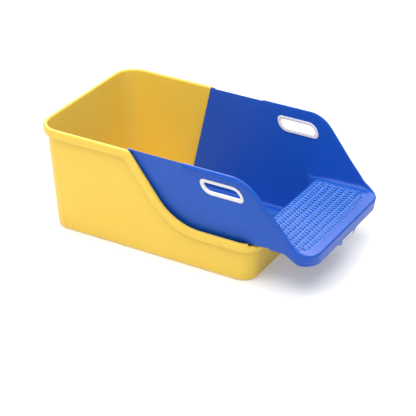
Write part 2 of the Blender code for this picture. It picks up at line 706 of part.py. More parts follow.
def grip_rings(empty, side):
    """The outer half is a plate with a sleeve through the wall; the inner half clips round it."""
    name = "left" if side > 0 else "right"
    ring = on_wall(grip_outline(0.0), side)
    bore = on_wall(grip_outline(GRIP_BEZEL), side)
    sleeve = on_wall(grip_outline(GRIP_BEZEL - GRIP_SLEEVE), side)
    collar = on_wall(grip_outline(GRIP_BEZEL - GRIP_SLEEVE - TOUCH), side)
    white = material("grip_white_" + name, (0.86, 0.85, 0.83), 0.45)
    outer = flat_plate(name + "_grip_outer", [ring, bore], TOUCH, TOUCH + GRIP_PLATE, MODEL, white)
    bushing = flat_plate(name + "_sleeve", [sleeve, bore], -WALL - TOUCH - GRIP_PLATE,
                         TOUCH + GRIP_PLATE / 2, "cutters")
    boolean(outer, bushing, "UNION")
    inner = flat_plate(name + "_grip_inner", [ring, collar], -WALL - TOUCH - GRIP_PLATE,
                       -WALL - TOUCH, MODEL, white)
    for obj in (outer, bushing, inner):
        obj.parent = empty


def surround():
    wall = surround_wall()
    for part in [riser(), foot_frame()] + deck_parts() + [bead(), tab()] + hook():
        boolean(wall, part, "UNION")
    for recess in (tread_recess(), grate_recess()):
        boolean(wall, recess, "DIFFERENCE")
    for side in (1, -1):
        empty = grip_frame(side)
        boolean(wall, grip_slot(empty, side), "DIFFERENCE")
        grip_rings(empty, side)
    return wall


# ---- Step inserts ----------------------------------------------------------------------------
def tread_panel():
    outline = rectangle(X_OPEN_REAR + FIT, X_OPEN_FRONT - FIT, Y_OPEN - FIT, TREAD_CORNER - FIT)
    obj = flat_plate("tread_panel", [outline], STEP_HEIGHT - TREAD, STEP_HEIGHT, MODEL,
                     material("tread_blue", (0.10, 0.24, 0.75), 0.38))
    xs = spread(X_OPEN_REAR + HOLE_MARGIN, X_OPEN_FRONT - HOLE_MARGIN, HOLE_ROWS)
    ys = spread(-Y_OPEN + HOLE_MARGIN, Y_OPEN - HOLE_MARGIN, HOLE_COLUMNS)
    short = [y for y in ys if abs(y) < Y_OPEN - NO_HOLE_CORNER]
    for row, x in enumerate(xs):
        across = short if row == HOLE_ROWS - 1 else ys
        holes = cutter_grid("tread_holes_%d" % row, [x], across, HOLE_LENGTH, HOLE_WIDTH,
                            STEP_HEIGHT - TREAD - CUT_PAST, STEP_HEIGHT + CUT_PAST)
        boolean(obj, holes, "DIFFERENCE")
    return obj


def catch_tray():
    """A pan hung by its flange from the ledge, shallow where it passes over the tub's rim.

    The sheet is the pan's inner face, and its wall goes outward.
    """
    z_flange = STEP_HEIGHT - TREAD - TOUCH
    gap = LEDGE + FIT + TRAY_WALL
    x0 = X_OPEN_REAR + gap
    x1 = X_OPEN_FRONT - gap
    half = Y_OPEN - gap
    z_shallow = z_flange - TRAY_SHALLOW + TRAY_WALL
    z_deep = z_flange - TRAY_DEPTH + TRAY_WALL
    x_past_rim = X_TUB_FRONT + TRAY_PAST_RIM
    z_mouth = z_flange - SINK / 2
    profile = [(x0, z_mouth), (x0, z_shallow), (x_past_rim, z_shallow),
               (x_past_rim + (z_shallow - z_deep), z_deep), (x1, z_deep), (x1, z_mouth)]
    rows = [[Vector((x, y, z)) for x, z in profile] for y in (half, -half)]
    cheeks = [[(row, column) for column in order] for row, order in
              ((0, range(len(profile) - 1, -1, -1)), (1, range(len(profile))))]
    pan = add_object("catch_tray", grid_mesh("catch_tray", rows, cheeks),
                     mat=material("tray_blue", (0.05, 0.17, 0.6), 0.4))
    solid = pan.modifiers.new("Wall", "SOLIDIFY")
    solid.thickness = TRAY_WALL
    solid.offset = 1.0
    solid.use_even_offset = True
    reach = gap - TRAY_FLANGE_GAP
    inset = TRAY_WALL / 4
    outer = rectangle(x0 - reach, x1 + reach, half + reach, 0.0)
    mouth = rectangle(x0 - inset, x1 + inset, half + inset, 0.0)
    flange = flat_plate("tray_flange", [outer, mouth], z_flange - TRAY_WALL, z_flange, "cutters")
    boolean(pan, flange, "UNION")
    return pan


def foot_grate():
    outline = foot_opening(-FIT)
    z_top = Z_FOOT + FOOT_HEIGHT
    obj = flat_plate("foot_grate", [outline], z_top - GRATE, z_top, MODEL,
                     material("grate_blue", (0.05, 0.16, 0.6), 0.4))
    xs_all = [x for x, _ in outline]
    ys_all = [y for _, y in outline]
    xs = spread(min(xs_all) + GRATE_MARGIN, max(xs_all) - GRATE_MARGIN, GRATE_ROWS)
    ys = spread(min(ys_all) + GRATE_MARGIN, max(ys_all) - GRATE_MARGIN, GRATE_COLUMNS)
    holes = cutter_grid("grate_holes", xs, ys, GRATE_HOLE, GRATE_HOLE, z_top - GRATE - CUT_PAST,
                        z_top + CUT_PAST)
    boolean(obj, holes, "DIFFERENCE")
    return obj


def front_badge():
    """A plain raised bar on the tab."""
    z_mid = Z_LIP - TAB_DROP / 2 + BADGE_RISE
    half, tall = BADGE_LENGTH / 2, BADGE_HEIGHT / 2
    outline = rounded([(-half, -tall), (half, -tall), (half, tall), (-half, tall)],
                      [tall * 0.8] * 4, 3)
    obj = flat_plate("front_badge", [outline], 0.0, BADGE_THICKNESS, MODEL,
                     material("badge_white", (0.85, 0.85, 0.85), 0.4))
    for vertex in obj.data.vertices:
        y, up, out = vertex.co
        z = z_mid + up
        vertex.co = (wall_front(z) + TOUCH + out, y, z)
    return obj


clear_scene()
tub()
surround()
tread_panel()
catch_tray()
foot_grate()
front_badge()
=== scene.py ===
import math
import bmesh
import bpy
import numpy as np
from mathutils import Matrix, Vector


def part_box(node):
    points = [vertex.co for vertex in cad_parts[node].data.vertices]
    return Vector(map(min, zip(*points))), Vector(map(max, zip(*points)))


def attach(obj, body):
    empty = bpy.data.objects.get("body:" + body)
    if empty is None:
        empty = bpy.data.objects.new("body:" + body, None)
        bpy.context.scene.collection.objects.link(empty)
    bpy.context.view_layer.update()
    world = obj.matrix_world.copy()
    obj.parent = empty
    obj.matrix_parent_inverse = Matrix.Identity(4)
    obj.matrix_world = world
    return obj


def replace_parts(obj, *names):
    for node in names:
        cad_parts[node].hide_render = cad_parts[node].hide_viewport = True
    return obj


# An open litter box: a yellow tub and a blue surround with a perforated step that lifts out.
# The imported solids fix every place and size, and the surfaces below replace the visible ones.
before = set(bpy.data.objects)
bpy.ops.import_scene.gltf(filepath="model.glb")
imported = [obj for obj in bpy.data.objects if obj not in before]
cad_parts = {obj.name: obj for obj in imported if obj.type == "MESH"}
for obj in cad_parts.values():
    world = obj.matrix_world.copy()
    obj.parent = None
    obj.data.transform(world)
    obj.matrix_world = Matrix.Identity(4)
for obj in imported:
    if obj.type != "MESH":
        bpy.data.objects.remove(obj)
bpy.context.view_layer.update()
tubLow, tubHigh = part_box("tub")
treadLow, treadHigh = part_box("tread_panel")
grateLow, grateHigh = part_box("foot_grate")
print("frame loaded: tub", [round(v, 4) for v in (*tubLow, *tubHigh)])
xRear = tubLow[0]


def smoothStep(t):  # 0 below 0, 1 above 1, and 3t^2 - 2t^3 between
    t = np.clip(t, 0.0, 1.0)
    return t * t * (3.0 - 2.0 * t)


def turnCorner(before, corner, after, radius, steps):
    # the arc of that radius which touches both straight runs that meet at the corner
    corner = np.array(corner, float)
    back = np.array(before, float) - corner
    ahead = np.array(after, float) - corner
    back /= np.linalg.norm(back)
    ahead /= np.linalg.norm(ahead)
    half = math.acos(np.clip(back @ ahead, -1.0, 1.0)) / 2
    middle = corner + (back + ahead) / np.linalg.norm(back + ahead) * radius / math.sin(half)
    start = corner + back * radius / math.tan(half) - middle
    end = corner + ahead * radius / math.tan(half) - middle
    turn = math.atan2(start[0] * end[1] - start[1] * end[0], start @ end)
    angle = np.linspace(0.0, turn, steps)[:, None]
    across = np.array([-start[1], start[0]])
    return middle + start * np.cos(angle) + across * np.sin(angle)


def bentLine(corners, radii, steps=24):
    # an open line through the corners, each inner corner turned by its own arc
    parts = [np.array([corners[0]], float)]
    for i, radius in enumerate(radii, 1):
        parts.append(turnCorner(corners[i - 1], corners[i], corners[i + 1], radius, steps))
    parts.append(np.array([corners[-1]], float))
    return np.vstack(parts)


def roundedLoop(corners, radii, steps=12):
    # a closed line through the corners, each corner turned by its own arc
    count = len(corners)
    return np.vstack([turnCorner(corners[i - 1], corners[i], corners[(i + 1) % count], radii[i], steps)
                      for i in range(count)])


def finishMesh(piece, sharpAngle=38.0):
    # merges coincident points, turns every face outward and shades round parts smooth
    mesh = piece.data
    bm = bmesh.new()
    bm.from_mesh(mesh)
    bmesh.ops.remove_doubles(bm, verts=bm.verts, dist=2e-6)
    bmesh.ops.dissolve_degenerate(bm, edges=bm.edges, dist=1e-6)
    bmesh.ops.recalc_face_normals(bm, faces=bm.faces)
    bm.to_mesh(mesh)
    bm.free()
    mesh.shade_smooth()
    mesh.set_sharp_from_angle(angle=math.radians(sharpAngle))
    return piece


def makePiece(name, points, faces, material):
    mesh = bpy.data.meshes.new(name)
    mesh.from_pydata(points.reshape(-1, 3).tolist(), [], faces)
    piece = bpy.data.objects.new(name, mesh)
    bpy.context.scene.collection.objects.link(piece)
    mesh.materials.append(material)
    return piece


def gridFaces(rows, columns, loopRows=False, loopColumns=False, keep=None):
    # quads between neighbouring points of a rows by columns grid, wrapped round where asked
    r, c = np.meshgrid(np.arange(rows if loopRows else rows - 1),
                       np.arange(columns if loopColumns else columns - 1), indexing="ij")
    if keep is not None:
        r, c = r[keep], c[keep]
    r, c = r.ravel(), c.ravel()
    rNext, cNext = (r + 1) % rows, (c + 1) % columns
    quads = np.stack([r * columns + c, r * columns + cNext,
                      rNext * columns + cNext, rNext * columns + c], axis=1)
    return quads.tolist()


def cappedSweep(name, points, material):
    # a closed section (rows) carried through open stations (columns), with its two ends filled
    rows, columns = points.shape[:2]
    faces = gridFaces(rows, columns, loopRows=True)
    faces.append([r * columns for r in range(rows)])
    faces.append([r * columns + columns - 1 for r in reversed(range(rows))])
    return makePiece(name, points, faces, material)


# the plastics: what a user would change is in these dictionaries
yellowPlastic = {"colour": (0.87, 0.60, 0.085), "shade": (0.83, 0.56, 0.072), "roughness": 0.36,
                 "grain": 900.0, "grainHeight": 0.00003, "shine": 0.32}
bluePlastic = {"colour": (0.012, 0.092, 0.50), "shade": (0.010, 0.081, 0.46), "roughness": 0.33,
               "grain": 900.0, "grainHeight": 0.00003, "shine": 0.28}
insertPlastic = {"colour": (0.026, 0.142, 0.60), "shade": (0.020, 0.125, 0.55), "roughness": 0.27,
                 "grain": 900.0, "grainHeight": 0.00003, "shine": 0.5}
whitePlastic = {"colour": (0.83, 0.815, 0.80), "shade": (0.79, 0.775, 0.76), "roughness": 0.40,
                "grain": 1100.0, "grainHeight": 0.00002, "shine": 0.45}


def mouldedPlastic(name, look):
    # colour drifts a little over the moulding, and a fine grain breaks up the shine
    material = bpy.data.materials.new(name)
    material.use_nodes = True
    nodes, links = material.node_tree.nodes, material.node_tree.links
    shader = nodes["Principled BSDF"]
    place = nodes.new("ShaderNodeTexCoord")
    cloud = nodes.new("ShaderNodeTexNoise")
    cloud.inputs["Scale"].default_value = 6.0
    cloud.inputs["Detail"].default_value = 2.0
    links.new(place.outputs["Object"], cloud.inputs["Vector"])
    tint = nodes.new("ShaderNodeMix")
    tint.data_type = "RGBA"
    tint.inputs["A"].default_value = (*look["colour"], 1.0)
    tint.inputs["B"].default_value = (*look["shade"], 1.0)
    links.new(cloud.outputs["Fac"], tint.inputs["Factor"])
    links.new(tint.outputs["Result"], shader.inputs["Base Color"])
    grain = nodes.new("ShaderNodeTexNoise")
    grain.inputs["Scale"].default_value = look["grain"]
    grain.inputs["Detail"].default_value = 1.0
    links.new(place.outputs["Object"], grain.inputs["Vector"])
    gloss = nodes.new("ShaderNodeMapRange")
    gloss.inputs["To Min"].default_value = look["roughness"] - 0.04
    gloss.inputs["To Max"].default_value = look["roughness"] + 0.05
    links.new(cloud.outputs["Fac"], gloss.inputs["Value"])
    links.new(gloss.outputs["Result"], shader.inputs["Roughness"])
    bump = nodes.new("ShaderNodeBump")
    bump.inputs["Strength"].default_value = 0.5
    bump.inputs["Distance"].default_value = look["grainHeight"]
    links.new(grain.outputs["Fac"], bump.inputs["Height"])
    links.new(bump.outputs["Normal"], shader.inputs["Normal"])
    shader.inputs["IOR"].default_value = 1.49
    shader.inputs["Specular IOR Level"].default_value = look["shine"]
    return material


yellow = mouldedPlastic("tubYellow", yellowPlastic)
blue = mouldedPlastic("surroundBlue", bluePlastic)
insertBlue = mouldedPlastic("insertBlue", insertPlastic)
white = mouldedPlastic("gripWhite", whitePlastic)
print("plastics ready")

# the tub: one wall carried round its outline, with a rim and a hanging skirt
tub = {"rimWidth": 0.013, "wall": 0.0025, "skirt": 0.024, "cornerTop": 0.055,
       "cornerFloor": 0.042, "frontCorner": 0.038, "fillet": 0.008, "sideDraft": 0.055,
       "rearDraft": 0.086, "frontDraft": 0.070, "lowRim": 0.1205, "frontRim": 0.1130,
       "sweepStart": 0.295, "sweepEnd": 0.4285, "sweepTopRadius": 0.015,
       "sweepLowRadius": 0.150, "stepDownFrom": 31.0, "stepDownTurn": 7.0}
xTubFront = tubHigh[0]
rimTop = tubHigh[2]
innerHalf = tubHigh[1] - tub["rimWidth"]
xFrontInner = xTubFront - tub["rimWidth"]


def tubStations():
    # the half outline as kinds (0 rear, 1 rear corner, 2 side, 3 front corner, 4 front) and values
    sideStart = xRear + tub["rimWidth"] + tub["cornerTop"]
    sideEnd = xFrontInner - tub["cornerFloor"] - tub["rimWidth"]
    sweep = xRear + tub["sweepStart"]
    side = np.unique(np.concatenate([np.linspace(sideStart + 0.012, sweep - 0.03, 7),
                                     np.linspace(sweep - 0.022, sweep + 0.03, 19),
                                     np.linspace(sweep + 0.036, sweep + 0.20, 34),
                                     np.linspace(sweep + 0.215, sideEnd - 0.006, 6)]))
    turn = np.concatenate([np.linspace(0, 28, 8), np.linspace(30, 39, 10), np.linspace(43, 90, 12)])
    kinds = [(0, np.linspace(0, 0.96, 5)), (1, np.linspace(0, 90, 19)), (2, side), (3, turn),
             (4, np.linspace(0.96, 0, 5))]
    kind = np.concatenate([np.full(len(v), k) for k, v in kinds])
    return kind, np.concatenate([v for _, v in kinds])


def tubOutline(kind, value, z, out, shift=0.0):
    # a rounded rectangle that narrows downward: its sides lean by their drafts times the depth
    depth = rimTop - z
    share = depth / rimTop
    low = (tub["frontRim"] - z) / tub["frontRim"]
    xBack = xRear + tub["rimWidth"] + tub["rearDraft"] * depth - out
    xAhead = xFrontInner - tub["frontDraft"] * (tub["frontRim"] - z) + out
    half = innerHalf - tub["sideDraft"] * depth + out
    radius = tub["cornerTop"] + (tub["cornerFloor"] - tub["cornerTop"]) * share + out
    ahead = tub["frontCorner"] + (tub["cornerFloor"] - tub["frontCorner"]) * low + out
    angle = np.radians(value)
    x = np.select([kind == 0, kind == 1, kind == 2, kind == 3],
                  [xBack, xBack + radius * (1 - np.cos(angle)), value + shift,
                   xAhead - ahead * (1 - np.sin(angle))], xAhead)
    y = np.select([kind == 0, kind == 1, kind == 2, kind == 3],
                  [value * (half - radius), half - radius * (1 - np.sin(angle)), half,
                   half - ahead * (1 - np.cos(angle))], value * (half - ahead))
    return np.stack([x, y, np.broadcast_to(z, x.shape)], axis=1)


def tubShell():
    # the wall's profile, from under the floor over the rim to the floor's inside, carried round
    kind, value = tubStations()
    path = bentLine([(xRear, rimTop), (xRear + tub["sweepStart"], rimTop),
                     (xRear + tub["sweepEnd"], tub["lowRim"]), (xTubFront, tub["lowRim"])],
                    [tub["sweepTopRadius"], tub["sweepLowRadius"]], 40)
    drop = smoothStep((value - tub["stepDownFrom"]) / tub["stepDownTurn"])
    onCorner = tub["lowRim"] + (tub["frontRim"] - tub["lowRim"]) * drop
    rim = np.select([kind <= 1, kind == 2, kind == 3],
                    [rimTop, np.interp(value, path[:, 0], path[:, 1]), onCorner], tub["frontRim"])

    def lean(reach):  # the side rim's downward angle, averaged over a stretch either way
        fall = (np.interp(value - reach, path[:, 0], path[:, 1])
                - np.interp(value + reach, path[:, 0], path[:, 1]))
        return np.where(kind == 2, np.arctan2(fall, 2 * reach), 0.0)

    def below(out, depth, reach):  # a ring at that depth square to the rim
        angle = lean(reach)
        return tubOutline(kind, value, rim - depth * np.cos(angle), out, -depth * np.sin(angle))

    wall, fillet = tub["wall"], tub["fillet"]
    floorTop = wall + fillet
    under = fillet + wall
    rings = [tubOutline(kind, value, np.full(len(kind), floorTop - under * math.sin(a)),
                        -fillet + under * math.cos(a)) for a in np.radians([90, 72, 54, 36, 18, 0])]
    middle = np.array([(rings[0][:, 0].min() + rings[0][:, 0].max()) / 2, 0.0, 0.0])
    rings = [middle + (rings[0] - middle) * s for s in (0.0, 0.4, 0.8)] + rings
    for share in (0.2, 0.45, 0.7, 0.9):
        rings.append(tubOutline(kind, value, floorTop + (rim - 0.004 - floorTop) * share, wall))
    # every entry: how far out, how far below the rim, and the stretch its slope is averaged over
    outer = tub["rimWidth"]
    fold = [(wall, 0.0042, 0.012), (wall + 0.0008, 0.0028, 0.012), (outer - 0.0036, 0.0028, 0.012),
            (outer - 0.0028, 0.0040, 0.012)]
    short = tub["skirt"] - np.maximum(0.0, tub["lowRim"] - rim)
    hem = [(outer - 0.0032, short - 0.0008), (outer - 0.0026, short), (outer - 0.0016, short),
           (outer - 0.0010, short - 0.0008), (outer - 0.0007, short * 0.75),
           (outer - 0.0003, short * 0.45)]
    crest = [(outer, 0.0068), (outer - 0.0001, 0.0050), (outer - 0.0006, 0.0034),
             (outer - 0.0015, 0.0020), (outer - 0.0028, 0.0009), (outer - 0.0044, 0.0002),
             (outer - 0.0060, 0.0), (0.0044, 0.0), (0.0030, 0.0003), (0.0017, 0.0011),
             (0.0007, 0.0024), (0.0001, 0.0042), (0.0, 0.0062)]
    rings += [below(out, depth, reach) for out, depth, reach in fold]
    rings += [below(out, depth, 0.040 - 0.028 * i / 5) for i, (out, depth) in enumerate(hem)]
    rings += [below(out, depth, 0.008) for out, depth in crest]
    for share in (0.92, 0.8, 0.6, 0.4, 0.2, 0.08):
        rings.append(tubOutline(kind, value, floorTop + (rim - 0.0066 - floorTop) * share, 0.0))
    for a in np.radians([0, 18, 36, 54, 72, 90]):
        rings.append(tubOutline(kind, value, np.full(len(kind), floorTop - fillet * math.sin(a)),
                                -fillet * (1 - math.cos(a))))
    inside = rings[-1]
    middle = middle + np.array([0.0, 0.0, wall])
    rings += [middle + (inside - middle) * s for s in (0.8, 0.4, 0.0)]
    left = np.array(rings)
    right = left[:, -2:0:-1] * np.array([1.0, -1.0, 1.0])
    points = np.concatenate([left, right], axis=1)
    piece = makePiece("tubShell", points, gridFaces(*points.shape[:2], loopColumns=True), yellow)
    finishMesh(piece)
    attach(piece, "tub")
    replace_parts(piece, "tub")
    return piece


tubShell()
print("tub shell made")

# the surround: high sides, a riser inside the tub, and the frame of the step
surround = {"wall": 0.0024, "draft": 0.092, "sideGap": 0.0010, "backTop": 0.289, "backFoot": 0.240,
            "shoulder": 0.637, "shoulderRadius": 0.090, "slopeFoot": 0.040,
            "slopeFootRadius": 0.075, "stepHeight": 0.127, "reach": 0.159, "corner": 0.050,
            "lipDepth": 0.032, "lipFlare": 0.0055, "flareLength": 0.050, "deck": 0.0026,
            "footLevel": 0.0028, "footHeight": 0.0040, "underStep": 0.1165, "riserBack": 0.020,
            "riserCorner": 0.030, "riserRound": 0.004, "footFillet": 0.010, "cove": 0.013,
            "footCove": 0.007, "frontBorder": 0.030, "sideBorder": 0.0165, "rearBorder": 0.004,
            "openingCorner": 0.031, "footBorder": 0.020, "tabTop": 0.118, "tabFoot": 0.082,
            "tabDrop": 0.011, "earLength": 0.014, "earReach": 0.0040, "earRise": 0.0016,
            "earBand": 0.0029, "footRun": 0.060, "stepRun": 0.030, "levelBack": 0.03,
            "levelRun": 0.015, "dropStart": 0.062, "dropRise": 0.006, "lipLevel": 0.010,
            "lowerRadii": [0.020, 0.028, 0.060], "edgeRound": 0.0011, "innerRound": 0.0010}
flange = {"start": 0.451, "reach": 0.0072, "endReach": 0.0080, "lean": 0.42, "rise": 0.0020,
          "band": 0.0110, "endBand": 0.024, "round": 0.0034, "lipRound": 0.0046}
wallTop = rimTop
sideTop = innerHalf - surround["sideGap"]
xFront = xTubFront + surround["reach"]
stepZ = surround["stepHeight"]
footZ = surround["footLevel"] + surround["footHeight"]
xRiser = xFrontInner - surround["riserBack"]
xCorner = xFront - surround["corner"]
xOpenRear = xRiser + surround["rearBorder"]
xOpenFront = xFront - surround["frontBorder"]
yStep = sideTop - surround["draft"] * (wallTop - stepZ)
yOpen = yStep - surround["sideBorder"]
yFootOpen = (sideTop - surround["draft"] * (wallTop - surround["footLevel"]) - surround["wall"]
             - surround["footBorder"])
lipZ = stepZ - surround["lipDepth"]


def halfWidth(z):  # the sides lean outward by the draft times the height
    return sideTop - surround["draft"] * (wallTop - z)


def lipFront(z):
    return xFront + surround["draft"] * (z - stepZ)


def flareAt(x):
    return surround["lipFlare"] * smoothStep((x - (xCorner - surround["flareLength"]))
                                             / surround["flareLength"])


def riserArc(gap):  # how far the riser's round corner stands back, at a gap from the side wall
    radius = surround["riserCorner"]
    inside = np.clip(radius - gap, 0.0, radius)
    return radius - np.sqrt(radius * radius - inside * inside)


def floorLine():
    # the foot, the riser and the step seen from the side: place, inward normal, thickness, share up
    xStart = xRear + surround["backFoot"]
    fillet, top = surround["footFillet"], surround["riserRound"]
    ear = xRear + surround["backTop"]
    xTopEnd = xRiser - surround["riserCorner"] - surround["footRun"]
    xTop = np.unique(np.concatenate([
        ear + np.array([0.0, 0.0006, 0.0014, 0.004, 0.008, 0.0125, 0.0134, 0.0140, 0.0146, 0.016]),
        np.linspace(ear + 0.03, xRear + flange["start"] - 0.006, 8),
        xRear + flange["start"] + np.linspace(-0.0025, 0.0045, 8),
        np.linspace(xRear + flange["start"] + 0.012, xTopEnd, 9)]))
    u = (xTop - ear) / (xTopEnd - ear)
    foot = np.stack([xStart + (xRiser - fillet - xStart) * u, np.full(len(u), footZ),
                     0 * u, 0 * u - 1, np.full(len(u), surround["footHeight"]), xTop], axis=1)
    a = np.radians(np.linspace(15, 90, 6))
    bend = np.stack([xRiser - fillet + fillet * np.sin(a), footZ + fillet * (1 - np.cos(a)),
                     np.sin(a), -np.cos(a), 0.0040 - 0.0016 * a / a[-1], 0 * a], axis=1)
    z = np.linspace(footZ + fillet, stepZ - top, 7)[1:]
    rise = np.stack([0 * z + xRiser, z, 0 * z + 1, 0 * z, 0 * z + 0.0024, 0 * z], axis=1)
    b = np.radians(np.linspace(15, 90, 6))
    over = np.stack([xRiser + top * (1 - np.cos(b)), stepZ - top * (1 - np.sin(b)),
                     np.cos(b), -np.sin(b), 0.0024 + 0.0002 * b / b[-1], 0 * b], axis=1)
    x = np.concatenate([np.linspace(xRiser + top, xCorner - 0.075, 22)[1:],
                        np.linspace(xCorner - 0.075, xCorner, 30)[1:]])
    step = np.stack([x, 0 * x + stepZ, 0 * x, 0 * x - 1, 0 * x + surround["deck"], 0 * x], axis=1)
    line = np.vstack([foot, bend, rise, over, step])
    zone = np.concatenate([np.full(len(p), i) for i, p in enumerate((foot, bend, rise, over, step))])
    return line, zone


def surroundShell():
    # one closed section (outer face, flange, inner face, cove, border, underside) carried along
    # the left side and round the front to the middle, then mirrored
    line, zone = floorLine()
    xF, zF, nx, nz, thick, xTopFoot = line.T
    count = len(xF)
    ramp = np.where(zone == 0, smoothStep((xF - (xRiser - 0.085)) / 0.072), 1.0)
    ramp = np.where(zone == 4, 1 - smoothStep((xF - xRiser - 0.004) / 0.065), ramp)
    xBase = xF - surround["riserCorner"] * ramp
    mid = (zone > 0) & (zone < 4)
    climb = np.clip((zF - footZ) / (stepZ - footZ), 0, 1)
    under = surround["underStep"]
    low = bentLine([(xRiser - surround["levelBack"], under), (xRiser + surround["levelRun"], under),
                    (xTubFront + surround["dropStart"], under + surround["dropRise"]),
                    (xCorner + surround["lipLevel"], lipZ), (xFront, lipZ)],
                   surround["lowerRadii"], 16)
    top = bentLine([(xRear + surround["backTop"], wallTop), (xRear + surround["shoulder"], wallTop),
                    (xFront - surround["slopeFoot"], stepZ), (xFront, stepZ)],
                   [surround["shoulderRadius"], surround["slopeFootRadius"]], 40)
    zLow = np.where(zone == 0, surround["footLevel"],
                    np.where(mid, surround["footLevel"]
                             + (under - surround["footLevel"]) * climb,
                             np.interp(xBase, low[:, 0], low[:, 1])))
    run = np.cumsum(mid) / mid.sum()
    xEdge = xRiser - surround["riserCorner"]
    footRun, stepRun = surround["footRun"], surround["stepRun"]
    xTop = np.where(zone == 0, xTopFoot, np.where(mid, xEdge - footRun + stepRun * run,
                    xBase - stepRun * (1 - smoothStep((xBase - xEdge) / 0.075))))
    zTop = np.interp(xTop, top[:, 0], top[:, 1])

    # the front corner and the front follow, as angles and as shares of the half width
    theta = np.radians(np.linspace(7.5, 90, 12))
    flat = halfWidth(stepZ) + surround["lipFlare"] - surround["corner"]
    tabAt = np.array([surround["tabTop"] / 2 + 0.004, surround["tabTop"] / 2,
                      surround["tabTop"] / 2 - 0.003, surround["tabFoot"] / 2 + 0.009,
                      surround["tabFoot"] / 2 + 0.003, surround["tabFoot"] / 2,
                      surround["tabFoot"] / 2 - 0.004, 0.02, 0.0])
    across = np.concatenate([np.linspace(flat, tabAt[0], 7)[1:-1], tabAt]) / flat
    corner = np.concatenate([np.zeros(count), theta, np.full(len(across), math.pi / 2)])
    share = np.concatenate([np.ones(count + len(theta)), across])
    part = np.concatenate([np.zeros(count), np.ones(len(theta)), np.full(len(across), 2)])
    extra = len(theta) + len(across)
    tabDown = surround["tabDrop"] * np.clip((surround["tabTop"] / 2 - across * flat)
                                            / (surround["tabTop"] - surround["tabFoot"]) * 2, 0, 1)

    def extend(values, last):
        return np.concatenate([values, np.full(extra, last)])
    xF, zF, nx, nz = extend(xF, xCorner), extend(zF, stepZ), extend(nx, 0.0), extend(nz, -1.0)
    thick, ramp = extend(thick, surround["deck"]), extend(ramp, 0.0)
    xBase, xTop, zTop = extend(xBase, xCorner), extend(xTop, xCorner), extend(zTop, stepZ)
    zone = extend(zone, 5)
    outX, outY = np.sin(corner), np.cos(corner)
    xTurn = xFront - surround["corner"] * (1 - outX)
    zTop = np.where(part == 0, zTop, np.interp(xTurn, top[:, 0], top[:, 1]))
    zLow = np.concatenate([zLow, np.interp(xTurn[count:], low[:, 0], low[:, 1])])
    zLow[part == 2] -= tabDown

    def outer(z):  # the outer face's point at height z, at every station
        z = np.broadcast_to(z, xF.shape)
        t = (z - zLow) / (zTop - zLow)
        x = xBase + (xTop - xBase) * t
        bend = surround["corner"]
        half = halfWidth(z)
        xRound = lipFront(z) - bend * (1 - outX)
        yRound = half + surround["lipFlare"] - bend * (1 - outY)
        x = np.where(part == 0, x, xRound)
        y = np.where(part == 0, half + flareAt(x), np.where(part == 1, yRound,
                     share * (half + surround["lipFlare"] - bend)))
        return np.stack([x, y, z], axis=1)

    def offset(z, distance):  # the same point moved out by a distance, square to the wall
        p = outer(z)
        p[:, 0] += outX * distance
        p[:, 1] += outY * distance
        return p

    along = np.clip((xTop - xRear - flange["start"]) / 0.003, 0, 1)
    downhill = smoothStep((xTop - xRear - surround["shoulder"] + 0.03)
                          / (xCorner - xRear - surround["shoulder"] + 0.03))
    fade = 1 - smoothStep(corner / math.radians(75))
    reach = along * (flange["reach"] + (flange["endReach"] - flange["reach"]) * downhill) * fade
    rise = along * flange["rise"] * (1 - smoothStep((xTop - xCorner + 0.03) / 0.03)) * fade
    band = flange["band"] + (flange["endBand"] - flange["band"]) * downhill ** 1.5
    ear = smoothStep((xRear + surround["backTop"] + surround["earLength"] - xTop) / 0.0012)
    ear = ear * (zone == 0)
    reach = reach + ear * surround["earReach"]
    rise = rise + ear * surround["earRise"]
    band = band * (1 - ear) + surround["earBand"] * ear
    lipShare = smoothStep((xTop - xCorner + 0.030) / 0.030)
    roundOut = surround["edgeRound"] + along * (flange["round"] - surround["edgeRound"])
    roundOut = roundOut + (flange["lipRound"] - roundOut) * lipShare
    topThick = surround["wall"] + (flange["lipRound"] + 0.0004 - surround["wall"]) * lipShare
    crest = zTop + rise
    inHeight = np.maximum(crest - zF, 0.0)
    roundIn = np.minimum(surround["innerRound"], 0.3 * inHeight)
    coveSize = np.where(zone == 0, surround["footCove"], surround["cove"])
    coveSize = np.where((zone > 0) & (zone < 4), 0.0, coveSize) * (1 - ramp)
    coveSize = np.minimum(coveSize, 0.6 * inHeight)

    rows = []
    for t in (0.004, 0.15, 0.35, 0.6, 0.85):
        rows.append(offset(zLow + 0.0011 + (crest - band - zLow - 0.0011) * t, 0.0))
    for t in (0.0, 0.06, 0.12, 0.18, 0.24, 0.30, 0.42, 0.7, 1.0):
        step = smoothStep(t / 0.24) * (1 - flange["lean"] * max(0.0, t - 0.24) / 0.76)
        rows.append(offset(crest - band + (band - roundOut) * t, reach * step))
    reach = reach * (1 - flange["lean"])
    for a in np.radians([15, 30, 45, 60, 75, 90]):
        rows.append(offset(crest - roundOut * (1 - np.sin(a)), reach - roundOut * (1 - math.cos(a))))
    for a in np.radians([90, 67, 45, 22, 0]):
        rows.append(offset(crest - roundIn * (1 - np.sin(a)), -topThick + roundIn * (1 - math.cos(a))))
    for t in (0.08, 0.3, 0.55, 0.8):
        rows.append(offset(crest - roundIn + (zF + coveSize - crest + roundIn) * t, -topThick))

    yWall = outer(zF)[:, 1] - surround["wall"]
    onSide = part == 0

    def bordered(p):  # beside the riser the border follows the riser's round corner
        gap = np.clip(yWall - p[:, 1], 0.0, None)
        x = xF - riserArc(gap) * ramp
        p[:, 0] = np.where(onSide, p[:, 0] * (1 - ramp) + x * ramp, p[:, 0])
        return p

